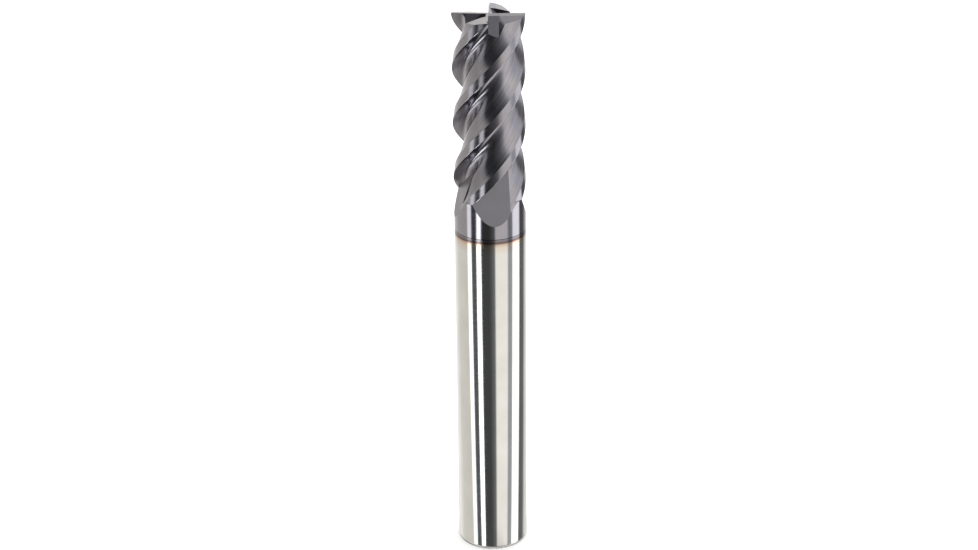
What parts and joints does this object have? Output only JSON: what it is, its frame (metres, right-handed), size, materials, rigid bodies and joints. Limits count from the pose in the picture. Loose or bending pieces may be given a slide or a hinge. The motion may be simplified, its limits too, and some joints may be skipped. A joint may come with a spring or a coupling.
{
  "type": "end mill",
  "caption": "Square end mill with helical flutes, a centre-cutting end, a dark hard coating on the cutting head and a plain bare shank.",
  "frame": {"origin": "centre of the shank's end face", "axes": "+Z along the tool's axis, from the shank's end to the cutting end; the long end teeth lie along +X and -X"},
  "size_m": [0.008, 0.008, 0.0635],
  "materials": {
    "ground_carbide": "bright ground carbide, polished",
    "hard_coating": "dark grey nitride coating with a faint purple cast, semi-gloss",
    "coating_fade": "thin coating with brown and straw interference colours"
  },
  "bodies": {
    "root": {"carbide_body": "ground_carbide", "coating": "hard_coating", "coating_edge": "coating_fade"}
  },
  "joints": []
}
